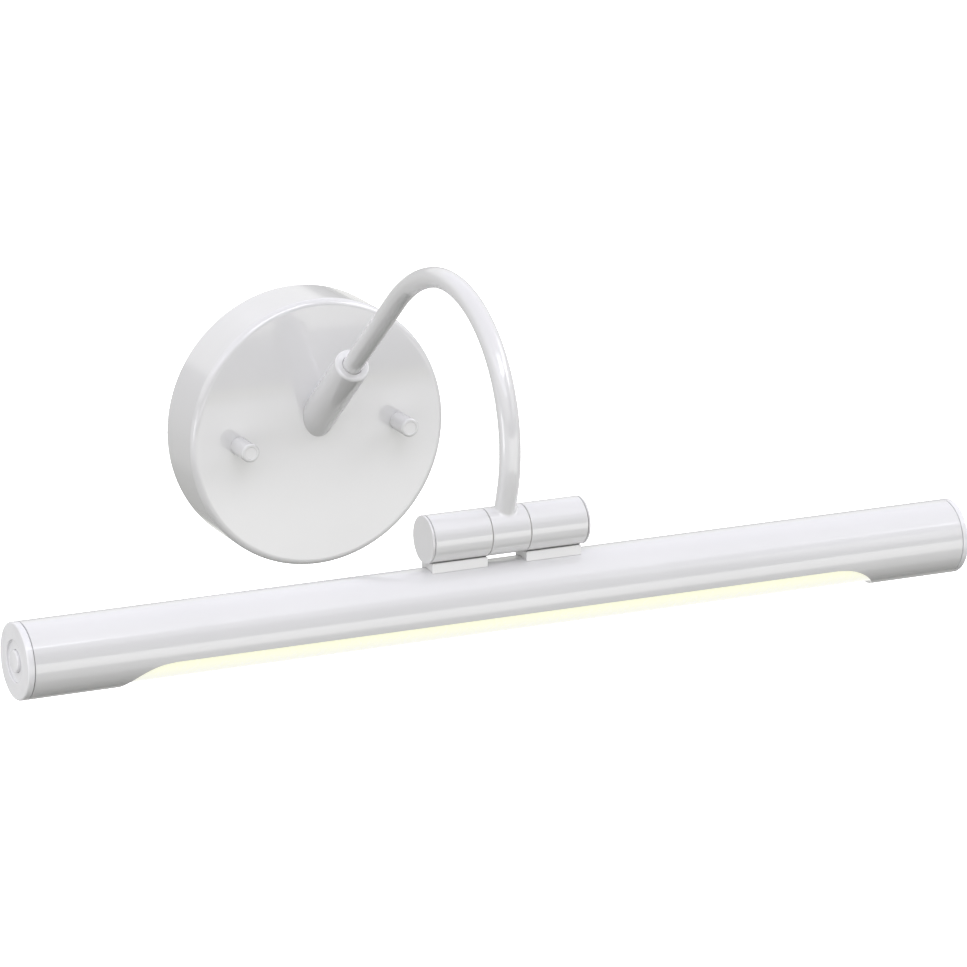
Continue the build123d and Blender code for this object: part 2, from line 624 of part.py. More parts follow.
def make_end_cap(side):
    """An end cap: a rim of the tube's diameter, a spigot, a dished face and a rear collar."""
    seam, face = side * TUBE_HALF, side * (TUBE_HALF + CAP_THICKNESS)
    cap = rod(LAMP_RADIUS, in_lamp(seam + side * CLEARANCE), in_lamp(face))
    cap = fillet(edges_on(cap, Axis.X, face), 0.7)
    floor = face - side * CAP_RECESS_DEPTH
    cap -= rod(CAP_RECESS_RADIUS, in_lamp(floor), in_lamp(face + side))
    cap += tube(LAMP_BORE_RADIUS - CLEARANCE, 12.4, in_lamp(seam - side * 5), in_lamp(seam + side))
    cap += tube(8.4, SWITCH_RADIUS + CLEARANCE, in_lamp(seam - side * 12), in_lamp(seam + side))
    return cap - rod(BUTTON_RADIUS + 0.08, in_lamp(seam - side), in_lamp(face + side))


def make_switch():
    """The push switch behind the left cap, and its button."""
    front = -TUBE_HALF
    back = front + SWITCH_LENGTH
    body = rod(SWITCH_RADIUS, in_lamp(front), in_lamp(back))
    body = chamfer(edges_on(body, Axis.X, back), 0.8)
    body -= rod(BUTTON_RADIUS + 0.08, in_lamp(front - 1), in_lamp(front + BUTTON_DEPTH))
    terminals = []
    for y in (-2.5, 2.5):
        width = (-REACH + y - 0.4, -REACH + y + 0.4)
        terminals.append(block((back, back + 3), width, (LAMP_Z - 1.5, LAMP_Z + 1.5)))
    tip = front - CAP_THICKNESS - 0.2
    button = rod(BUTTON_RADIUS, in_lamp(tip), in_lamp(front + BUTTON_DEPTH - BUTTON_TRAVEL - 0.8))
    button = fillet(edges_on(button, Axis.X, tip), 0.6)
    parts["switch_body"] = body
    parts["switch_terminals"] = terminals
    parts["switch_button"] = button


def make_cap_plug():
    """The blind plug that fills the right cap's centre hole."""
    tip = TUBE_HALF + CAP_THICKNESS + 0.2
    plug = rod(BUTTON_RADIUS, in_lamp(TUBE_HALF - 3), in_lamp(tip))
    return fillet(edges_on(plug, Axis.X, tip), 0.6)


def make_lamp_wiring():
    """The flex in the lamp, its connector on the bar, and the leads to the switch and board."""
    route = [
        at_knuckle(-FLEX_SPLIT),
        at_knuckle(-FLEX_DROP),
        in_lamp(-FLEX_DROP, z=WIRE_Z),
        in_lamp(CONNECTOR_X[1] - 1, z=WIRE_Z),
    ]
    parts["lamp_flex"] = sweep_round(FilletPolyline(*route, radius=[3.0, 3.0]), FLEX_RADIUS)
    low, high = (LAMP_Z + z for z in CONNECTOR_Z)
    connector = block(CONNECTOR_X, (-REACH - 4, -REACH + 4), (low, high))
    connector = fillet(connector.edges().filter_by(Axis.Z), 0.8)
    flex_end, mouth = in_lamp(CONNECTOR_X[1] - 1, z=WIRE_Z), in_lamp(CONNECTOR_X[1] + 1, z=WIRE_Z)
    connector -= rod(FLEX_RADIUS + 0.02, flex_end, mouth)
    leads = []
    for y in (-2.5, 2.5):
        start = CONNECTOR_X[0] + 1
        connector -= rod(0.82, in_lamp(CONNECTOR_X[0] - 1, y, WIRE_Z), in_lamp(start, y, WIRE_Z))
        points = [
            in_lamp(start, y, WIRE_Z),
            in_lamp(-BAR_HALF - 4, y, WIRE_Z),
            in_lamp(-BAR_HALF - 4.6, y, 0.0),
            in_lamp(-TUBE_HALF + SWITCH_LENGTH + 3.0, y, 0.0),
        ]
        leads.append(sweep_round(FilletPolyline(*points, radius=[2.5, 2.2]), LEAD_RADIUS))
    board_lead = FilletPolyline(
        in_lamp(CONNECTOR_X[0], 0, WIRE_Z),
        in_lamp(BOARD_LEAD_X, 0, WIRE_Z),
        in_lamp(BOARD_LEAD_X, 0, BOARD_Z[0] - 0.5),
        radius=1.8,
    )
    parts["lead_connector"] = connector
    parts["switch_leads"] = leads
    parts["board_lead"] = sweep_round(board_lead, LEAD_RADIUS)


# ---------------------------------------------------------------- all the pieces
parts["canopy_cover"] = make_cover()
parts["wall_plate"] = make_wall_plate()
parts["plate_studs"] = make_studs()
parts["left_thumb_nut"] = make_thumb_nut(-1)
parts["right_thumb_nut"] = make_thumb_nut(1)
parts["cable_bush"] = make_cable_bush()
make_driver()
make_terminals()
make_leads()
make_flex_clip()

parts["arm_socket"] = make_socket()
WASHER_Y = (INNER_FACE_Y, INNER_FACE_Y + 1.0)
LOCKNUT_Y = (WASHER_Y[1], WASHER_Y[1] + 3.0)
washer_ends = [(0, y, ARM_FOOT_HEIGHT) for y in WASHER_Y]
locknut_ends = [(0, y, ARM_FOOT_HEIGHT) for y in LOCKNUT_Y]
parts["socket_washer"] = tube(8.5, SPIGOT_RADIUS + 0.1, *washer_ends)
parts["socket_locknut"] = hex_bar(14.0, *locknut_ends) - rod(SPIGOT_RADIUS + 0.02, *locknut_ends)
parts["socket_grub_screw"] = make_grub_screw()
parts["arm_tube"] = make_arm()
parts["arm_flex"] = make_arm_flex()

parts["centre_barrel"] = make_centre_barrel()
parts["pivot_tube"] = make_pivot_tube()
parts["left_barrel"] = make_side_barrel(-1)
parts["right_barrel"] = make_side_barrel(1)
parts["left_barrel_cap"] = make_barrel_cap(-1)
parts["right_barrel_cap"] = make_barrel_cap(1)
parts["friction_washers"] = on_both_sides(make_friction_washer)
parts["spring_washers"] = on_both_sides(make_spring_washer)
parts["pivot_nuts"] = on_both_sides(make_pivot_nut)
parts["left_saddle"] = make_saddle(-1)
parts["right_saddle"] = make_saddle(1)
parts["saddle_screws"] = make_saddle_screws(-1) + make_saddle_screws(1)

parts["lamp_tube"] = make_lamp_tube()
parts["heat_sink_bar"] = make_heat_sink_bar()
parts["led_board"] = make_board()
parts["led_chips"] = make_leds()
parts["board_screws"] = make_board_screws()
parts["diffuser"] = make_diffuser()
parts["left_end_cap"] = make_end_cap(-1)
parts["right_end_cap"] = make_end_cap(1)
parts["right_cap_plug"] = make_cap_plug()
make_switch()
make_lamp_wiring()

os.makedirs("parts", exist_ok=True)
for name, shape in parts.items():
    if isinstance(shape, list):
        shape = Compound(children=[piece.solid() for piece in shape])
    shape.label = name
    export_step(shape, f"parts/{name}.step")
flex = parts["arm_flex"]
section = pi * FLEX_RADIUS**2
print("flex in the arm:", round(flex.volume / section), "mm")
print("arm's last run leans", round(degrees(atan2(NECK_DIRECTION.Y, NECK_DIRECTION.Z)), 1), "degrees")
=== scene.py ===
import json
from math import acos, asin, atan2, cos, hypot, pi, radians, sin, sqrt, tan

import bmesh
import bpy
from mathutils import Matrix, Vector


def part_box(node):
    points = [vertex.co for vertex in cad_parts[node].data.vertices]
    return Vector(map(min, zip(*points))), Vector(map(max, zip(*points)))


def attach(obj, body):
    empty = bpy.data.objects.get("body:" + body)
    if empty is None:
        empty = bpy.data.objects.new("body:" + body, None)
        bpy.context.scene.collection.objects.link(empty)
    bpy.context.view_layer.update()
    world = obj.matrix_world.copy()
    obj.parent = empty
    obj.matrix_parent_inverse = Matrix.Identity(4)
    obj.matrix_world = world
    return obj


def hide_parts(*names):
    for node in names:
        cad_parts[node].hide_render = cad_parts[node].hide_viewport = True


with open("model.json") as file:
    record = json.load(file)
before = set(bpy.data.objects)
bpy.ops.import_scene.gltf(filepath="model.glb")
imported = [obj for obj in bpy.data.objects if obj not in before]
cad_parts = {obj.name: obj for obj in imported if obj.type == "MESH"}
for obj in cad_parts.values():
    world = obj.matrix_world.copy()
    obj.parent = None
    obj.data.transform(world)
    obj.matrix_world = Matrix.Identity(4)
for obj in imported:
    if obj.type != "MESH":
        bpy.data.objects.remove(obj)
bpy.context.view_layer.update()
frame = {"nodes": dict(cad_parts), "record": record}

# A picture light: canopy, oblique socket, curved arm, barrel knuckle and a tubular LED lamp.
# Everything is in metres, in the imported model's frame: the wall is y = 0, the lamp reaches -y.
MM = 0.001
SEGMENTS = 160
EDGE = 0.3 * MM
FINE_EDGE = 0.2 * MM
HAIR_EDGE = 0.1 * MM
SEAM_WIDTH = 0.45 * MM
SEAM_DEPTH = 1.2 * MM
RIGHT = Vector((1, 0, 0))
ARC_STEP = radians(12)

# Canopy
cover_low, cover_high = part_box("canopy_cover")
COVER_RADIUS = (cover_high.x - cover_low.x) / 2
FACE_Y = cover_low.y
COVER_WALL = 1.2 * MM
COVER_EDGE = 3.0 * MM
LATHE_CENTRE = 0.2 * MM
SPIGOT_HOLE = 5.2 * MM
STUD_HOLE = 2.3 * MM
NUT_BORE = 2.05 * MM
NUT_DEPTH = 9.0 * MM
NUT_ROUNDING = 0.9 * MM
NUT_RIM = 1.3 * MM
NUT_DISH = 0.25 * MM

# Arm: a straight, two bends and a last run into the knuckle
ARM_RADIUS = 4.25 * MM
ARM_RISE = radians(41.6)
ARM_FOOT = (-FACE_Y, 8.6 * MM)
ARM_STRAIGHT = 99.2 * MM
ARM_REAR_BEND = 80.6 * MM
ARM_REAR_TURN = radians(27.0)
ARM_FRONT_BEND = 57.1 * MM
ARM_ENTRY = 18.0 * MM
STRAIGHT_STEPS = 40
SOCKET_RADIUS = 7.5 * MM
SOCKET_LENGTH = 44.0 * MM
SOCKET_RIM = 1.1 * MM
SOCKET_GAP = 0.05 * MM
SOCKET_TOP_RUN = 14.0 * MM
GRUB_HOLE = 1.55 * MM
GRUB_DEPTH = 2.9 * MM
GRUB_MOUTH = 1.8 * MM
GRUB_ALONG = 32.0 * MM
BEND_STEP = radians(1.5)

# Knuckle
barrel_low, barrel_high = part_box("right_barrel")
BARREL_RADIUS = (barrel_high.y - barrel_low.y) / 2
KNUCKLE = Vector((0, (barrel_high.y + barrel_low.y) / 2, (barrel_high.z + barrel_low.z) / 2))
CENTRE_HALF = 8.1 * MM
SIDE_START = barrel_low.x
SIDE_SEAM = barrel_high.x
SIDE_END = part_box("right_barrel_cap")[1].x
NECK_LENGTH = 12.5 * MM
WELD_RADIUS = 1.2 * MM
PIVOT_HOLE = 4.05 * MM
CHAMBER_RADIUS = 7.5 * MM
SHOULDER = 14.0 * MM
DISC_PLUG = 2.5 * MM
saddle_low, saddle_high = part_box("right_saddle")
SADDLE_GAP = 0.45 * MM
SADDLE_GAP_DEPTH = 1.2 * MM
SADDLE_FIT = 0.01 * MM

# Lamp
tube_low, tube_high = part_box("lamp_tube")
LAMP_RADIUS = (tube_high.z - tube_low.z) / 2
LAMP = Vector((0, (tube_high.y + tube_low.y) / 2, (tube_high.z + tube_low.z) / 2))
TUBE_HALF = tube_high.x
LAMP_WALL = 1.0 * MM
WINDOW_DROP = 3.85 * MM
WINDOW_HALF = 168.0 * MM
WINDOW_CORNER = 25.0 * MM
RIB_Z = 5.2 * MM
RIB_HEIGHT = 1.0 * MM
RIB_INNER = 8.6 * MM
RIB_OUTER = 13.4 * MM
RIB_SHORT = 6.0 * MM
CAP_THICKNESS = 3.0 * MM
CAP_DISH_RADIUS = 8.2 * MM
CAP_DISH_FLOOR = 2.0 * MM
# The cap's collars: inner radius, outer radius, depth into the tube
SWITCH_COLLAR = (6.65 * MM, 8.4 * MM, 12.0 * MM)
TUBE_COLLAR = (12.4 * MM, 13.95 * MM, 5.0 * MM)
BUTTON_RADIUS = 4.3 * MM
BUTTON_GAP = 0.1 * MM
BUTTON_TIP = 3.2 * MM
PLUG_DEPTH = 3.0 * MM

# Diffuser and LEDs
DIFFUSER_RADIUS = 13.8 * MM
DIFFUSER_WALL = 1.3 * MM
DIFFUSER_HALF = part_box("diffuser")[1].x
DIFFUSER_TOP = 4.4 * MM
LED_PITCH = 9.0 * MM
# Edges of the two rolled sheets are softened where they turn by more than this, in degrees
SHEET_ANGLE = 50


# ---------------------------------------------------------------- materials
def shader(name, base, roughness, **inputs):
    """A principled material; the named inputs are set on the shader itself."""
    material = bpy.data.materials.new(name)
    material.use_nodes = True
    bsdf = material.node_tree.nodes["Principled BSDF"]
    bsdf.inputs["Base Color"].default_value = (*base, 1)
    bsdf.inputs["Roughness"].default_value = roughness
    for key, value in inputs.items():
        bsdf.inputs[key.replace("_", " ")].default_value = value
    return material


def node(material, kind, **values):
    """A new node with its inputs and properties set by name."""
    made = material.node_tree.nodes.new(kind)
    for key, value in values.items():
        if key in made.inputs:
            made.inputs[key].default_value = value
        else:
            setattr(made, key, value)
    return made


def link(material, source, target):
    material.node_tree.links.new(source, target)


def place(material, stretch=(1, 1, 1)):
    """The object's own coordinates, in metres, scaled along each axis."""
    coords = node(material, "ShaderNodeTexCoord")
    mapping = node(material, "ShaderNodeMapping", Scale=stretch)
    link(material, coords.outputs["Object"], mapping.inputs["Vector"])
    return mapping.outputs["Vector"]


def noise(material, per_metre, detail=2.0, stretch=(1, 1, 1)):
    made = node(material, "ShaderNodeTexNoise", Scale=per_metre, Detail=detail)
    link(material, place(material, stretch), made.inputs["Vector"])
    return made.outputs["Fac"]


def ramp(material, factor, stops):
    """A colour ramp from (position, colour) pairs."""
    made = node(material, "ShaderNodeValToRGB")
    elements = made.color_ramp.elements
    while len(elements) < len(stops):
        elements.new(0.5)
    for element, (position, colour) in zip(elements, stops):
        element.position = position
        element.color = (*colour, 1)
    link(material, factor, made.inputs["Fac"])
    return made.outputs["Color"]


def tint(colour, share):
    return tuple(channel * share for channel in colour)


def vary_colour(material, factor, base, low, high):
    """Lets the base colour drift between two shares of itself."""
    bsdf = material.node_tree.nodes["Principled BSDF"]
    colour = ramp(material, factor, [(0.3, tint(base, low)), (0.7, tint(base, high))])
    link(material, colour, bsdf.inputs["Base Color"])


def vary_roughness(material, factor, low, high):
    bsdf = material.node_tree.nodes["Principled BSDF"]
    spread = node(material, "ShaderNodeMapRange")
    for key, value in (("From Min", 0.3), ("From Max", 0.7), ("To Min", low), ("To Max", high)):
        spread.inputs[key].default_value = value
    link(material, factor, spread.inputs["Value"])
    link(material, spread.outputs["Result"], bsdf.inputs["Roughness"])


def add_bump(material, height, strength, depth):
    bsdf = material.node_tree.nodes["Principled BSDF"]
    bump = node(material, "ShaderNodeBump", Strength=strength, Distance=depth)
    link(material, height, bump.inputs["Height"])
    link(material, bump.outputs["Normal"], bsdf.inputs["Normal"])


def make_paint():
    """White gloss powder coat: a faint orange peel and a slow drift in tone and gloss."""
    base = (0.74, 0.74, 0.74)
    paint = shader("white_paint", base, 0.14, Specular_IOR_Level=0.8, Coat_Weight=1.0)
    bsdf = paint.node_tree.nodes["Principled BSDF"]
    bsdf.inputs["Coat Roughness"].default_value = 0.05
    bsdf.inputs["Coat IOR"].default_value = 1.6
    vary_colour(paint, noise(paint, 22), base, 0.985, 1.01)
    vary_roughness(paint, noise(paint, 60, 3), 0.11, 0.18)
    add_bump(paint, noise(paint, 520, 1), 0.05, 0.05 * MM)
    return paint


def make_metal(name, base, roughness, stretch, depth=0.02 * MM):
    """A bare or plated metal with fine streaks along one direction."""
    metal = shader(name, base, roughness, Metallic=1.0)
    streaks = noise(metal, 900, 4, stretch)
    vary_colour(metal, streaks, base, 0.88, 1.08)
    vary_roughness(metal, streaks, roughness * 0.75, roughness * 1.3)
    add_bump(metal, streaks, 0.3, depth)
    return metal


def make_plastic(name, base, roughness, grain=1400, depth=0.03 * MM, **inputs):
    """A moulded plastic with a fine grain and a slow drift in tone."""
    plastic = shader(name, base, roughness, **inputs)
    vary_colour(plastic, noise(plastic, 70, 3), base, 0.94, 1.04)
    vary_roughness(plastic, noise(plastic, 300), roughness * 0.85, roughness * 1.15)
    add_bump(plastic, noise(plastic, grain), 0.25, depth)
    return plastic


def make_board_material():
    """Green solder mask over copper tracks that show as paler lines."""
    base = (0.03, 0.2, 0.09)
    board = shader("circuit_board", base, 0.3, Coat_Weight=0.4)
    tracks = node(board, "ShaderNodeTexBrick", Scale=260.0)
    tracks.inputs["Color1"].default_value = (*base, 1)
    tracks.inputs["Color2"].default_value = (0.025, 0.17, 0.08, 1)
    tracks.inputs["Mortar"].default_value = (0.1, 0.36, 0.16, 1)
    tracks.inputs["Mortar Size"].default_value = 0.04
    turn = node(board, "ShaderNodeMapping", Rotation=(pi / 2, 0, 0))
    link(board, place(board), turn.inputs["Vector"])
    link(board, turn.outputs["Vector"], tracks.inputs["Vector"])
    bsdf = board.node_tree.nodes["Principled BSDF"]
    link(board, tracks.outputs["Color"], bsdf.inputs["Base Color"])
    add_bump(board, tracks.outputs["Fac"], 0.3, 0.04 * MM)
    return board


def make_led():
    """A yellow phosphor window in a white cup, repeated at the board's pitch."""
    led = shader("led_phosphor", (0.95, 0.8, 0.3), 0.35)
    split = node(led, "ShaderNodeSeparateXYZ")
    link(led, place(led), split.inputs["Vector"])
    step = node(led, "ShaderNodeMath", operation="PINGPONG")
    step.inputs[1].default_value = LED_PITCH / 2
    link(led, split.outputs["X"], step.inputs[0])
    colour = ramp(led, step.outputs[0], [(0.0, (0.95, 0.74, 0.2)), (0.0048, (0.9, 0.9, 0.86))])
    bsdf = led.node_tree.nodes["Principled BSDF"]
    link(led, colour, bsdf.inputs["Base Color"])
    add_bump(led, noise(led, 2500), 0.2, 0.02 * MM)
    return led


def make_earth():
    """Green insulation with a yellow stripe along it."""
    earth = shader("earth_insulation", (0.1, 0.4, 0.08), 0.4)
    wave = node(earth, "ShaderNodeTexWave", Scale=180.0, Distortion=0.4)
    link(earth, place(earth), wave.inputs["Vector"])
    stops = [(0.45, (0.08, 0.36, 0.06)), (0.55, (0.8, 0.7, 0.08))]
    bsdf = earth.node_tree.nodes["Principled BSDF"]
    link(earth, ramp(earth, wave.outputs["Fac"], stops), bsdf.inputs["Base Color"])
    add_bump(earth, noise(earth, 1500), 0.2, 0.02 * MM)
    return earth


def make_opal():
    """Lit opal acrylic: warm beside the metal, and nearly white at its lowest line."""
    opal = shader("opal_diffuser", (0.3, 0.3, 0.28), 0.25, Coat_Weight=0.3)
    split = node(opal, "ShaderNodeSeparateXYZ")
    link(opal, place(opal), split.inputs["Vector"])
    height = node(opal, "ShaderNodeMapRange")
    for key, value in (("From Min", LAMP.z - DIFFUSER_RADIUS), ("From Max", LAMP.z)):
        height.inputs[key].default_value = value
    link(opal, split.outputs["Z"], height.inputs["Value"])
    cloud = node(opal, "ShaderNodeMath", operation="MULTIPLY_ADD")
    link(opal, noise(opal, 40), cloud.inputs[0])
    cloud.inputs[1].default_value = 0.06
    link(opal, height.outputs["Result"], cloud.inputs[2])
    warm = [(0.1, (1.0, 1.0, 0.98)), (0.45, (1.0, 1.0, 0.82)), (0.72, (0.99, 1.0, 0.7))]
    bsdf = opal.node_tree.nodes["Principled BSDF"]
    link(opal, ramp(opal, cloud.outputs[0], warm), bsdf.inputs["Emission Color"])
    bsdf.inputs["Emission Strength"].default_value = 0.84
    vary_roughness(opal, noise(opal, 400), 0.22, 0.3)
    return opal


MATERIALS = {
    "white_paint": make_paint(),
    "zinc_steel": make_metal("zinc_steel", (0.62, 0.64, 0.66), 0.3, (1, 1, 0.15)),
    "brass": make_metal("brass", (0.78, 0.57, 0.25), 0.25, (1, 1, 0.2)),
    "bare_aluminium": make_metal("bare_aluminium", (0.76, 0.77, 0.79), 0.35, (0.02, 1, 1)),
    "white_plastic": make_plastic("white_plastic", (0.8, 0.8, 0.81), 0.2, Coat_Weight=0.8),
    "nylon": make_plastic("nylon", (0.8, 0.78, 0.7), 0.45, Subsurface_Weight=0.1),
    "driver_plastic": make_plastic("driver_plastic", (0.7, 0.7, 0.69), 0.55, 900, 0.08 * MM),
    "dark_plastic": make_plastic("dark_plastic", (0.03, 0.03, 0.034), 0.4),
    "circuit_board": make_board_material(),
    "white_board": make_plastic("white_board", (0.84, 0.84, 0.82), 0.35),
    "capacitor_sleeve": make_plastic("capacitor_sleeve", (0.03, 0.05, 0.16), 0.25),
    "led_phosphor": make_led(),
    "opal_diffuser": make_opal(),
    "white_pvc": make_plastic("white_pvc", (0.78, 0.78, 0.77), 0.4),
    "lead_insulation": make_plastic("lead_insulation", (0.3, 0.1, 0.04), 0.4),
    "earth_insulation": make_earth(),
}
SLOT_OF = {part["node"]: part["material_slot"] for part in frame["record"]["subparts"]}


# ---------------------------------------------------------------- mesh helpers
def rounded(corners):
    """An outline from (a, b) or (a, b, rounding) corners, each rounding an arc that meets its sides."""
    points = []
    count = len(corners)
    for i, corner in enumerate(corners):
        here = Vector(corner[:2])
        radius = corner[2] if len(corner) > 2 else 0
        if not radius:
            points.append(here)
            continue
        back = (Vector(corners[i - 1][:2]) - here).normalized()
        on = (Vector(corners[(i + 1) % count][:2]) - here).normalized()
        opening = back.angle(on)
        centre = here + (back + on).normalized() * (radius / sin(opening / 2))
        first = here + back * (radius / tan(opening / 2)) - centre
        last = here + on * (radius / tan(opening / 2)) - centre
        turn = first.angle(last)
        steps = max(3, round(turn / ARC_STEP))
        for step in range(steps + 1):
            share = step / steps
            spoke = (first * sin((1 - share) * turn) + last * sin(share * turn)) / sin(turn)
            points.append(centre + spoke)
    return points


def mesh_object(name, verts, faces):
    """A mesh object with its double points merged and its faces turned outwards."""
    mesh = bpy.data.meshes.new(name)
    mesh.from_pydata([tuple(v) for v in verts], [], faces)
    bm = bmesh.new()
    bm.from_mesh(mesh)
    bmesh.ops.remove_doubles(bm, verts=bm.verts, dist=1e-7)
    bmesh.ops.recalc_face_normals(bm, faces=bm.faces)
    bm.to_mesh(mesh)
    bm.free()
    obj = bpy.data.objects.new(name, mesh)
    bpy.context.scene.collection.objects.link(obj)
    return obj


def grid(rows, closed_rows=False, closed_ring=True):
    """The points and four-sided faces of a grid of equal rows of points."""
    ring = len(rows[0])
    faces = []
    for i in range(len(rows) if closed_rows else len(rows) - 1):
        for j in range(ring if closed_ring else ring - 1):
            a, b = i * ring, (i + 1) % len(rows) * ring
            k = (j + 1) % ring
            faces.append((a + j, a + k, b + k, b + j))
    return [p for row in rows for p in row], faces


def sheet(name, rows, closed_rows=False, cap_ends=False):
    """A skin over rings of points; cap_ends closes the first and the last ring, with sharp edges."""
    verts, faces = grid(rows, closed_rows)
    ring = len(rows[0])
    if cap_ends:
        faces.append(tuple(range(ring)))
        faces.append(tuple(range(len(verts) - ring, len(verts))))
    obj = mesh_object(name, verts, faces)
    if cap_ends:
        sharpen_caps(obj, ring)
    return obj


def sharpen_caps(obj, ring):
    """Marks the rims of the flat end faces, so that smooth shading stops there."""
    bm = bmesh.new()
    bm.from_mesh(obj.data)
    for face in bm.faces:
        if len(face.verts) == ring:
            for edge in face.edges:
                edge.smooth = False
    bm.to_mesh(obj.data)
    bm.free()


def across(direction):
    """Two unit vectors square to a direction and to each other."""
    one = direction.orthogonal().normalized()
    return one, direction.cross(one).normalized()


def ring_at(centre, radius, one, two):
    turns = (2 * pi * i / SEGMENTS for i in range(SEGMENTS))
    return [centre + one * (radius * cos(t)) + two * (radius * sin(t)) for t in turns]


def turned(name, outline, origin, direction, closed=False):
    """A turned piece: (along, radius) points spun about a line. Radius 0 closes an end."""
    direction = Vector(direction).normalized()
    one, two = across(direction)
    rows = [ring_at(origin + direction * a, max(r, 0), one, two) for a, r in outline]
    return sheet(name, rows, closed_rows=closed)


def join(pieces):
    """One mesh from several."""
    bm = bmesh.new()
    for piece in pieces:
        bm.from_mesh(piece.data)
    bm.to_mesh(pieces[0].data)
    bm.free()
    for piece in pieces[1:]:
        bpy.data.objects.remove(piece)
    return pieces[0]


def applied(obj):
    """Makes the object's modifiers part of its mesh."""
    graph = bpy.context.evaluated_depsgraph_get()
    graph.update()
    mesh = bpy.data.meshes.new_from_object(obj.evaluated_get(graph))
    obj.modifiers.clear()
    obj.data = mesh
    return obj


def cut(obj, cutters):
    """Cuts closed shapes out of a piece."""
    for cutter in cutters:
        modifier = obj.modifiers.new("cut", "BOOLEAN")
        modifier.operation = "DIFFERENCE"
        modifier.solver = "EXACT"
        modifier.object = cutter
        applied(obj)
        bpy.data.objects.remove(cutter)
    return obj


def soften(obj, width, angle=35):
    """Rounds the sharp edges of a piece."""
    modifier = obj.modifiers.new("bevel", "BEVEL")
    modifier.width = width
    modifier.segments = 3
    modifier.limit_method = "ANGLE"
    modifier.angle_limit = radians(angle)
    return applied(obj)


def finish(obj, body, *nodes):
    """Smooth shading that keeps flats flat, the slot's material, a body and the nodes it stands for."""
    obj.data.polygons.foreach_set("use_smooth", [True] * len(obj.data.polygons))
    weighted = obj.modifiers.new("weighted_normals", "WEIGHTED_NORMAL")
    weighted.mode = "FACE_AREA"
    weighted.weight = 50
    weighted.keep_sharp = True
    slot = SLOT_OF[nodes[0]]
    obj.data.materials.clear()
    obj.data.materials.append(MATERIALS[slot])
    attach(obj, body)
    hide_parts(*nodes)
    return obj


# ---------------------------------------------------------------- the arm's line
def arm_point(reach, height):
    return Vector((0, -reach, height))


def arm_bends():
    """The arm's driving points: the bends' centres and the slope at each change."""
    bend = (
        ARM_FOOT[0] + ARM_STRAIGHT * cos(ARM_RISE),
        ARM_FOOT[1] + ARM_STRAIGHT * sin(ARM_RISE),
    )
    rear = (bend[0] + ARM_REAR_BEND * sin(ARM_RISE), bend[1] - ARM_REAR_BEND * cos(ARM_RISE))
    slope = ARM_RISE - ARM_REAR_TURN
    shorter = ARM_REAR_BEND - ARM_FRONT_BEND
    front = (rear[0] - shorter * sin(slope), rear[1] + shorter * cos(slope))
    to_axis = (-KNUCKLE.y - front[0], KNUCKLE.z - front[1])
    leave = atan2(to_axis[1], to_axis[0]) + acos(ARM_FRONT_BEND / hypot(*to_axis)) - pi / 2
    return rear, front, slope, leave


REAR_CENTRE, FRONT_CENTRE, CREST_SLOPE, LAST_SLOPE = arm_bends()
ARM_DIRECTION = arm_point(cos(ARM_RISE), sin(ARM_RISE))
NECK_DIRECTION = -arm_point(cos(LAST_SLOPE), sin(LAST_SLOPE))
FOOT = arm_point(*ARM_FOOT)


def arm_stations(start, off_axis):
    """(point, direction) along the arm, from start up the straight to off_axis from the knuckle."""
    stations = []
    for step in range(STRAIGHT_STEPS + 1):
        along = start + (ARM_STRAIGHT - start) * step / STRAIGHT_STEPS
        stations.append((FOOT + ARM_DIRECTION * along, ARM_RISE))
    bends = (
        (REAR_CENTRE, ARM_REAR_BEND, ARM_RISE, CREST_SLOPE),
        (FRONT_CENTRE, ARM_FRONT_BEND, CREST_SLOPE, LAST_SLOPE),
    )
    for centre, radius, first, last in bends:
        steps = round(abs(first - last) / BEND_STEP)
        for step in range(1, steps + 1):
            slope = first + (last - first) * step / steps
            point = arm_point(centre[0] - radius * sin(slope), centre[1] + radius * cos(slope))
            stations.append((point, slope))
    last_bend = stations[-1][0]
    end = KNUCKLE + NECK_DIRECTION * off_axis
    for share in (0.33, 0.66, 1):
        stations.append((last_bend.lerp(end, share), LAST_SLOPE))
    return [(point, arm_point(cos(slope), sin(slope))) for point, slope in stations]


# ---------------------------------------------------------------- canopy
def stud_places():
    """Where the studs stand, left then right, from the nuts' boxes."""
    boxes = [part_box(side + "_thumb_nut") for side in ("left", "right")]
    return [(low + high) / 2 for low, high in boxes]


def make_canopy():
    """The canopy: a spun cup with holes for the studs and the socket, which hides its centre."""
    inner_face = FACE_Y + COVER_WALL
    outline = rounded(
        [
            (0, COVER_RADIUS, EDGE),
            (-FACE_Y, COVER_RADIUS, COVER_EDGE),
            (-FACE_Y, LATHE_CENTRE),
            (-inner_face, LATHE_CENTRE),
            (-inner_face, COVER_RADIUS - COVER_WALL, COVER_EDGE - COVER_WALL),
            (0, COVER_RADIUS - COVER_WALL, EDGE),
        ]
    )
    cover = turned("canopy_cup", outline, Vector(), (0, -1, 0), closed=True)
    holes = [(place.x, place.z, STUD_HOLE) for place in stud_places()]
    holes.append((0, ARM_FOOT[1], SPIGOT_HOLE))
    cutters = []
    reach = 4 * MM
    for x, z, radius in holes:
        hole = [(0, 0), (0, radius), (2 * reach, radius), (2 * reach, 0)]
        start = Vector((x, FACE_Y + reach, z))
        cutters.append(turned("cutter", hole, start, (0, -1, 0)))
    cut(cover, cutters)
    finish(cover, "wall_unit", "canopy_cover")


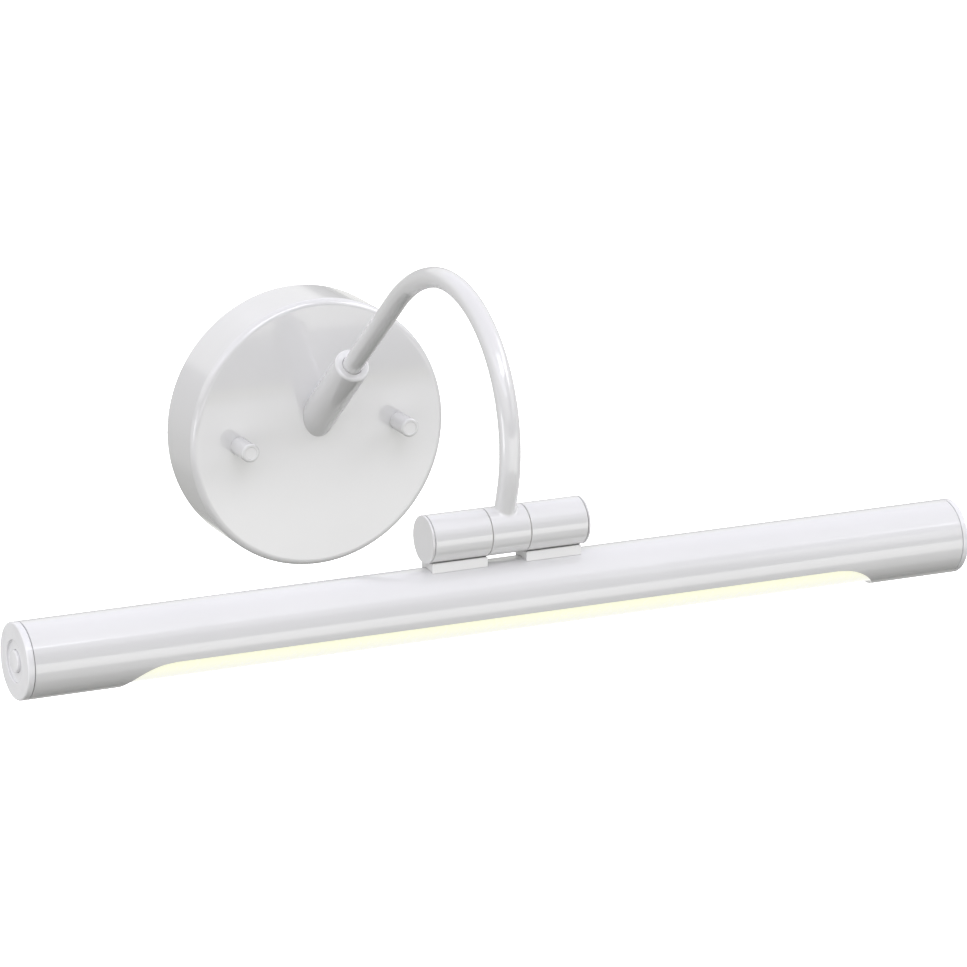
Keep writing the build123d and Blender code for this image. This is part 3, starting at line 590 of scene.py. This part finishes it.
def make_nut(side):
    """A round thumb nut: a softened end with a shallow dish, a broken seat edge, a blind bore."""
    low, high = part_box(side + "_thumb_nut")
    radius, length = (high.x - low.x) / 2, high.y - low.y
    seat = Vector(((low.x + high.x) / 2, high.y, (low.z + high.z) / 2))
    outline = rounded(
        [
            (NUT_DEPTH, 0),
            (NUT_DEPTH, NUT_BORE),
            (0, NUT_BORE, FINE_EDGE),
            (0, radius, 0.25 * MM),
            (length, radius, NUT_ROUNDING),
            (length, radius - NUT_RIM, 0.15 * MM),
            (length - NUT_DISH, radius - NUT_RIM - 0.15 * MM, 0.15 * MM),
            (length - NUT_DISH, 0),
        ]
    )
    nut = turned(side + "_round_nut", outline, seat, (0, -1, 0))
    finish(nut, side + "_thumb_nut", side + "_thumb_nut")


# ---------------------------------------------------------------- arm and socket
def make_arm():
    """The arm tube, swept along its line."""
    rows = []
    for point, direction in arm_stations(ARM_ENTRY, NECK_LENGTH):
        rows.append(ring_at(point, ARM_RADIUS, RIGHT, direction.cross(RIGHT)))
    arm = sheet("bent_arm", rows, cap_ends=True)
    finish(arm, "wall_unit", "arm_tube")


def oblique_ring(radius, y):
    """The ring where a round bar along the arm's straight meets the plane at y."""
    up = ARM_DIRECTION.cross(RIGHT)
    ring = []
    for spoke in ring_at(Vector(), radius, RIGHT, up):
        along = (y - FOOT.y - spoke.y) / ARM_DIRECTION.y
        ring.append(FOOT + ARM_DIRECTION * along + spoke)
    return ring


def make_socket():
    """The oblique socket, cut flat where it stands on the canopy, with its edges just broken."""
    broken = FINE_EDGE
    rows = [
        oblique_ring(SOCKET_RADIUS - broken, FACE_Y),
        oblique_ring(SOCKET_RADIUS - broken * 0.3, FACE_Y - broken * 0.3),
        oblique_ring(SOCKET_RADIUS, FACE_Y - broken),
        oblique_ring(SOCKET_RADIUS, FACE_Y - broken * 2),
    ]
    outline = rounded(
        [
            (SOCKET_LENGTH - SOCKET_TOP_RUN, SOCKET_RADIUS),
            (SOCKET_LENGTH, SOCKET_RADIUS, SOCKET_RIM),
            (SOCKET_LENGTH, ARM_RADIUS + SOCKET_GAP, 0.35 * MM),
            (ARM_ENTRY, ARM_RADIUS + SOCKET_GAP),
        ]
    )
    up = ARM_DIRECTION.cross(RIGHT)
    for along, radius in outline:
        rows.append(ring_at(FOOT + ARM_DIRECTION * along, radius, RIGHT, up))
    socket = sheet("oblique_socket", rows, cap_ends=True)
    grub = FOOT + ARM_DIRECTION * GRUB_ALONG
    hole = [
        (SOCKET_RADIUS - GRUB_DEPTH, 0),
        (SOCKET_RADIUS - GRUB_DEPTH, GRUB_HOLE),
        (SOCKET_RADIUS - EDGE, GRUB_HOLE),
        (SOCKET_RADIUS + 1.5 * MM, GRUB_HOLE + GRUB_MOUTH),
        (SOCKET_RADIUS + 1.5 * MM, 0),
    ]
    cut(socket, [turned("cutter", hole, grub, RIGHT)])
    finish(socket, "wall_unit", "arm_socket")


# ---------------------------------------------------------------- knuckle
def make_neck():
    """The short neck on the centre barrel, with the weld's smooth fillet round its foot."""
    normal = NECK_DIRECTION.cross(RIGHT)
    start = KNUCKLE + NECK_DIRECTION * NECK_LENGTH
    fillet_rows = [[] for _ in range(9)]
    sunk = []
    sunk_depth = 0.6 * MM
    ball_radius, ball_height = ARM_RADIUS + WELD_RADIUS, BARREL_RADIUS + WELD_RADIUS
    for i in range(SEGMENTS):
        turn = 2 * pi * i / SEGMENTS
        spoke = RIGHT * cos(turn) + normal * sin(turn)
        along = sqrt(ball_height**2 - (ball_radius * sin(turn)) ** 2)
        centre = KNUCKLE + NECK_DIRECTION * along + spoke * ball_radius
        off_axis = centre - KNUCKLE
        off_axis.x = 0
        to_arm, to_barrel = -spoke, -off_axis.normalized()
        between = to_arm.angle(to_barrel)
        for step, row in enumerate(fillet_rows):
            share = step / (len(fillet_rows) - 1)
            blend = to_arm * sin((1 - share) * between) + to_barrel * sin(share * between)
            row.append(centre + blend * (WELD_RADIUS / sin(between)))
        sunk.append(fillet_rows[-1][-1] + to_barrel * sunk_depth)
    rows = [ring_at(start, ARM_RADIUS, RIGHT, normal)] + fillet_rows + [sunk]
    return sheet("neck", rows, cap_ends=True)


def make_centre_barrel():
    """The centre barrel, bored for the pivot, with the neck welded on."""
    outline = rounded(
        [
            (-CENTRE_HALF, PIVOT_HOLE, FINE_EDGE),
            (-CENTRE_HALF, BARREL_RADIUS, EDGE),
            (CENTRE_HALF, BARREL_RADIUS, EDGE),
            (CENTRE_HALF, PIVOT_HOLE, FINE_EDGE),
        ]
    )
    barrel = turned("welded_barrel", outline, KNUCKLE, RIGHT, closed=True)
    finish(join([barrel, make_neck()]), "wall_unit", "centre_barrel")


def make_side_barrel(name, side):
    """A side barrel with a seam groove at its outer end, and the disc that closes it."""
    outline = rounded(
        [
            (SIDE_START, BARREL_RADIUS, EDGE),
            (SIDE_SEAM - SEAM_WIDTH, BARREL_RADIUS, HAIR_EDGE),
            (SIDE_SEAM - SEAM_WIDTH, BARREL_RADIUS - SEAM_DEPTH),
            (SIDE_SEAM, BARREL_RADIUS - SEAM_DEPTH),
            (SIDE_SEAM, CHAMBER_RADIUS, FINE_EDGE),
            (SHOULDER, CHAMBER_RADIUS, EDGE),
            (SHOULDER, PIVOT_HOLE, FINE_EDGE),
            (SIDE_START, PIVOT_HOLE, FINE_EDGE),
        ]
    )
    barrel = turned(name + "_turned_barrel", outline, KNUCKLE, (side, 0, 0), closed=True)
    finish(barrel, "lamp_head", name + "_barrel")
    plug_radius, plug_end = CHAMBER_RADIUS - 0.05 * MM, SIDE_SEAM - DISC_PLUG
    outline = rounded(
        [
            (SIDE_END, 0),
            (SIDE_END, BARREL_RADIUS, EDGE),
            (SIDE_SEAM, BARREL_RADIUS, HAIR_EDGE),
            (SIDE_SEAM, plug_radius, HAIR_EDGE),
            (plug_end, plug_radius, EDGE),
            (plug_end, 0),
        ]
    )
    disc = turned(name + "_barrel_disc", outline, KNUCKLE, (side, 0, 0))
    finish(disc, "lamp_head", name + "_barrel_cap")


def make_saddle(name, side):
    """The block between a barrel and the lamp tube, hollowed to both, with a shadow gap on top."""
    half = (saddle_high.y - saddle_low.y) / 2
    steps = 14
    top, bottom = [], []
    for i in range(steps + 1):
        y = half - 2 * half * i / steps
        gap = SADDLE_GAP if abs(y) > half - SADDLE_GAP_DEPTH else SADDLE_FIT
        top.append((y, KNUCKLE.z - sqrt((BARREL_RADIUS + gap) ** 2 - y**2)))
        bottom.append((-y, LAMP.z + sqrt((LAMP_RADIUS + SADDLE_FIT) ** 2 - y**2)))
    section = top + bottom
    ends = (side * saddle_low.x, side * saddle_high.x)
    rows = [[Vector((x, LAMP.y + y, z)) for y, z in section] for x in ends]
    saddle = sheet(name + "_saddle_block", rows, cap_ends=True)
    finish(soften(saddle, EDGE), "lamp_head", name + "_saddle")


# ---------------------------------------------------------------- lamp
def in_lamp(x, y=0.0, z=0.0):
    return Vector((x, LAMP.y + y, LAMP.z + z))


def window_stations():
    """(x, half opening angle) along the tube: the window's straight, its corner, the closed end."""
    widest = acos(WINDOW_DROP / LAMP_RADIUS)
    stations = [(x * WINDOW_HALF, widest) for x in (0.0, 0.25, 0.5, 0.7)]
    corner_x = WINDOW_HALF - WINDOW_CORNER
    corner_z = WINDOW_DROP + WINDOW_CORNER
    steps = 36
    for step in range(steps + 1):
        opening = widest * (1 - step / steps)
        rise = corner_z - LAMP_RADIUS * cos(opening)
        stations.append((corner_x + sqrt(WINDOW_CORNER**2 - rise**2), opening))
    closed_from = stations[-1][0]
    for share in (0.1, 0.3, 0.6, 1.0):
        stations.append((closed_from + (TUBE_HALF - closed_from) * share, 0.0))
    return [(-x, opening) for x, opening in stations[:0:-1]] + stations


def make_rib(side):
    """One of the inner ribs that the heat-sink bar lies on."""
    top = RIB_Z + RIB_HEIGHT
    section = [(RIB_INNER, RIB_Z), (RIB_OUTER, RIB_Z), (RIB_OUTER - 0.2 * MM, top), (RIB_INNER, top)]
    ends = (-TUBE_HALF + RIB_SHORT, TUBE_HALF - RIB_SHORT)
    rows = [[in_lamp(x, side * y, z) for y, z in section] for x in ends]
    return soften(sheet("rib", rows, cap_ends=True), 0.15 * MM)


def thickened(obj, wall):
    """A sheet rolled round the lamp's axis, made solid inwards: its outside stays in place."""
    outwards = sum(face.normal.dot(face.center - LAMP) for face in obj.data.polygons[:50])
    if outwards < 0:
        obj.data.flip_normals()
    solid = obj.modifiers.new("wall", "SOLIDIFY")
    solid.thickness = wall
    solid.offset = -1
    return applied(obj)


def make_lamp_tube():
    """The tube as a rolled sheet with its window left out, thickened, with softened edges."""
    rows = []
    for x, opening in window_stations():
        row = []
        for i in range(SEGMENTS + 1):
            angle = opening + (2 * pi - 2 * opening) * i / SEGMENTS
            row.append(in_lamp(x, -LAMP_RADIUS * sin(angle), -LAMP_RADIUS * cos(angle)))
        rows.append(row)
    verts, faces = grid(rows, closed_ring=False)
    tube = mesh_object("window_tube", verts, faces)
    soften(thickened(tube, LAMP_WALL), FINE_EDGE, SHEET_ANGLE)
    finish(join([tube, make_rib(-1), make_rib(1)]), "lamp_head", "lamp_tube")


def make_diffuser():
    """The opal trough: a curved sheet with closed ends, thickened inwards."""
    reach = pi / 2 + asin(DIFFUSER_TOP / DIFFUSER_RADIUS)
    steps = 96
    arc = []
    for i in range(steps + 1):
        angle = reach * (2 * i / steps - 1)
        arc.append((DIFFUSER_RADIUS * sin(angle), -DIFFUSER_RADIUS * cos(angle)))
    ends = [DIFFUSER_HALF * share for share in (-1, -0.98, -0.5, 0, 0.5, 0.98, 1)]
    rows = [[in_lamp(x, y, z) for y, z in arc] for x in ends]
    verts, faces = grid(rows, closed_ring=False)
    ring = len(arc)
    faces.append(tuple(range(ring)))
    faces.append(tuple(range(len(verts) - ring, len(verts))))
    trough = mesh_object("opal_trough", verts, faces)
    soften(thickened(trough, DIFFUSER_WALL), 0.25 * MM, SHEET_ANGLE)
    finish(trough, "lamp_head", "diffuser")


def make_end_cap(name, side):
    """An end cap: rim, shallow dish, the hole for the button or plug, and two inner collars."""
    hole = BUTTON_RADIUS + BUTTON_GAP
    switch_in, switch_out, switch_deep = SWITCH_COLLAR
    tube_in, tube_out, tube_deep = TUBE_COLLAR
    outline = rounded(
        [
            (SEAM_WIDTH, LAMP_RADIUS, 0.12 * MM),
            (CAP_THICKNESS, LAMP_RADIUS, 0.7 * MM),
            (CAP_THICKNESS, CAP_DISH_RADIUS, 0.25 * MM),
            (CAP_DISH_FLOOR, CAP_DISH_RADIUS, FINE_EDGE),
            (CAP_DISH_FLOOR, hole, 0.15 * MM),
            (0, hole),
            (0, switch_in),
            (-switch_deep, switch_in, FINE_EDGE),
            (-switch_deep, switch_out, EDGE),
            (0, switch_out, EDGE),
            (0, tube_in, EDGE),
            (-tube_deep, tube_in, EDGE),
            (-tube_deep, tube_out, 0.4 * MM),
            (SEAM_WIDTH, tube_out),
        ]
    )
    cap = turned(name + "_lamp_cap", outline, in_lamp(side * TUBE_HALF), (side, 0, 0), closed=True)
    finish(cap, "lamp_head", name + "_end_cap")


def make_boss(name, side, body, node_name, inner):
    """The button in the left cap, or the plug in the right one, with a softened rim."""
    outline = rounded(
        [
            (inner, 0),
            (inner, BUTTON_RADIUS, EDGE),
            (BUTTON_TIP, BUTTON_RADIUS, 0.5 * MM),
            (BUTTON_TIP, 0),
        ]
    )
    boss = turned(name, outline, in_lamp(side * TUBE_HALF), (side, 0, 0))
    finish(boss, body, node_name)


# ---------------------------------------------------------------- all the pieces
def dress_cad_nodes():
    """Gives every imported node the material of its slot."""
    for name, obj in frame["nodes"].items():
        obj.data.materials.clear()
        obj.data.materials.append(MATERIALS[SLOT_OF[name]])


dress_cad_nodes()
make_canopy()
make_arm()
make_socket()
make_centre_barrel()
make_lamp_tube()
make_diffuser()
for name, side in (("left", -1), ("right", 1)):
    make_nut(name)
    make_side_barrel(name, side)
    make_saddle(name, side)
    make_end_cap(name, side)
button_inner = -TUBE_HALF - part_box("switch_button")[1].x
make_boss("round_button", -1, "switch_button", "switch_button", button_inner)
make_boss("round_plug", 1, "lamp_head", "right_cap_plug", -PLUG_DEPTH)


# ---------------------------------------------------------------- studio
CAMERA_PLACE = (-0.8852, -1.9891, 0.6140)
CAMERA_TURN = (26.11, 16.44, 0.76)
CAMERA_LENS = 199.8
FLOOR_HALF = 60.0
FLOOR_Z = -3.2


def make_camera():
    """The camera, from the left and a little above: yaw, pitch and roll, with a long lens."""
    yaw, pitch, roll = (radians(turn) for turn in CAMERA_TURN)
    ahead = Vector((sin(yaw) * cos(pitch), cos(yaw) * cos(pitch), -sin(pitch)))
    level = Vector((cos(yaw), -sin(yaw), 0))
    up = level.cross(ahead)
    side = level * cos(roll) + up * sin(roll)
    top = up * cos(roll) - level * sin(roll)
    camera = bpy.data.cameras.new("camera")
    camera.sensor_width = 36
    camera.lens = CAMERA_LENS
    camera.clip_start = 0.05
    camera.clip_end = 200
    holder = bpy.data.objects.new("camera", camera)
    bpy.context.scene.collection.objects.link(holder)
    turn = Matrix((side, top, -ahead)).transposed().to_4x4()
    holder.matrix_world = Matrix.Translation(CAMERA_PLACE) @ turn
    bpy.context.scene.camera = holder


def make_floor():
    """A plain pale floor, far below, that doesn't light the lamp."""
    corners = [(x * FLOOR_HALF, y * FLOOR_HALF, FLOOR_Z) for x, y in ((-1, -1), (1, -1), (1, 1), (-1, 1))]
    floor = mesh_object("floor", corners, [(0, 1, 2, 3)])
    pale = shader("pale_floor", (0.9, 0.9, 0.9), 0.6)
    bsdf = pale.node_tree.nodes["Principled BSDF"]
    bsdf.inputs["Emission Color"].default_value = (1, 1, 1, 1)
    bsdf.inputs["Emission Strength"].default_value = 1.0
    vary_colour(pale, noise(pale, 0.6), (0.9, 0.9, 0.9), 0.98, 1.02)
    floor.data.materials.append(pale)
    floor.visible_diffuse = False
    floor.visible_glossy = False
    floor.visible_shadow = False


# The studio's soft lights, each a window of directions: azimuth from +x towards +y and elevation,
# as (middle, half width) in degrees, then brightness and the tint of its light.
COOL = (1.008, 1.0, 1.065)
WARM = (1.0, 1.0, 0.975)
LIGHTS = {
    "ceiling": ((0, 180), (75, 15), 0.9, COOL),
    "ceiling_edge": ((0, 180), (52, 8), 1.0, COOL),
    "front_skylight": ((270, 30), (52, 8), 2.4, COOL),
    "high_walls": ((0, 180), (37, 8), 0.45, COOL),
    "front_left_window": ((225, 45), (37, 8), 1.1, COOL),
    "front_right_window": ((337, 23), (37, 8), 3.0, COOL),
    "rear_windows": ((90, 90), (37, 8), 0.5, COOL),
    "walls": ((105, 165), (21, 9), 0.9, WARM),
    "level_walls": ((105, 135), (6, 6), 0.4, WARM),
    "skirting": ((0, 180), (-6, 18), 0.1, WARM),
    "bounce": ((0, 180), (-12, 12), 0.45, WARM),
    "left_reflector": ((195, 45), (-12, 12), 0.42, COOL),
    "front_reflector": ((285, 45), (-12, 12), 0.95, WARM),
    "rear_right_reflector": ((60, 30), (-12, 12), 0.3, WARM),
    "floor": ((0, 180), (-37, 13), 0.45, WARM),
    "under": ((0, 180), (-70, 20), 0.1, WARM),
}
LIGHT_EDGE = radians(2.0)
END_LIGHT_SIZE = 0.16
END_LIGHT_AWAY = 0.24
END_LIGHT_POWER = 0.12


def make_world():
    """A white background, and for everything but the camera the studio's soft lights."""
    world = bpy.data.worlds.new("studio")
    bpy.context.scene.world = world
    world.use_nodes = True
    tree = world.node_tree
    tree.nodes.clear()

    def math(operation, first, second=0.0):
        """The output of a math node, each input a value or another node's output."""
        made = tree.nodes.new("ShaderNodeMath")
        made.operation = operation
        for socket, value in zip(made.inputs, (first, second)):
            if isinstance(value, float):
                socket.default_value = value
            else:
                tree.links.new(value, socket)
        return made.outputs[0]

    def inside(angle, half):
        """1 within half of the middle, 0 beyond it, with a soft edge."""
        made = tree.nodes.new("ShaderNodeMapRange")
        made.interpolation_type = "SMOOTHSTEP"
        made.inputs["From Min"].default_value = half + LIGHT_EDGE
        made.inputs["From Max"].default_value = half - LIGHT_EDGE
        tree.links.new(angle, made.inputs["Value"])
        return made.outputs["Result"]

    coords = tree.nodes.new("ShaderNodeTexCoord")
    split = tree.nodes.new("ShaderNodeSeparateXYZ")
    tree.links.new(coords.outputs["Generated"], split.inputs["Vector"])
    azimuth = math("ARCTAN2", split.outputs["Y"], split.outputs["X"])
    elevation = math("ARCSINE", split.outputs["Z"])
    totals = {COOL: 0.0, WARM: 0.0}
    for (turn, half_turn), (height, half_height), brightness, colour in LIGHTS.values():
        level = inside(math("ABSOLUTE", math("SUBTRACT", elevation, radians(height))), radians(half_height))
        if half_turn < 180:
            offset = math("COSINE", math("SUBTRACT", azimuth, radians(turn)))
            level = math("MULTIPLY", level, inside(math("ARCCOSINE", offset), radians(half_turn)))
        totals[colour] = math("ADD", math("MULTIPLY", level, brightness), totals[colour])
    shaders = []
    for colour, total in totals.items():
        background = tree.nodes.new("ShaderNodeBackground")
        background.inputs["Color"].default_value = (*colour, 1)
        tree.links.new(total, background.inputs["Strength"])
        shaders.append(background.outputs["Background"])
    lights = tree.nodes.new("ShaderNodeAddShader")
    tree.links.new(shaders[0], lights.inputs[0])
    tree.links.new(shaders[1], lights.inputs[1])
    white = tree.nodes.new("ShaderNodeBackground")
    white.inputs["Color"].default_value = (1, 1, 1, 1)
    seen = tree.nodes.new("ShaderNodeLightPath")
    mix = tree.nodes.new("ShaderNodeMixShader")
    out = tree.nodes.new("ShaderNodeOutputWorld")
    tree.links.new(seen.outputs["Is Camera Ray"], mix.inputs["Fac"])
    tree.links.new(lights.outputs["Shader"], mix.inputs[1])
    tree.links.new(white.outputs["Background"], mix.inputs[2])
    tree.links.new(mix.outputs["Shader"], out.inputs["Surface"])


def make_end_light():
    """A small soft light off the lamp's left end, on its axis, for the cap's face."""
    light = bpy.data.lights.new("end_light", "AREA")
    light.shape = "DISK"
    light.size = END_LIGHT_SIZE
    light.energy = END_LIGHT_POWER
    light.color = (1.0, 1.0, 1.03)
    holder = bpy.data.objects.new("end_light", light)
    bpy.context.scene.collection.objects.link(holder)
    turn = Matrix.Rotation(-pi / 2, 4, "Y")
    holder.matrix_world = Matrix.Translation(in_lamp(-TUBE_HALF - END_LIGHT_AWAY)) @ turn


make_camera()
make_floor()
make_world()
make_end_light()
bpy.context.scene.view_settings.view_transform = "Standard"
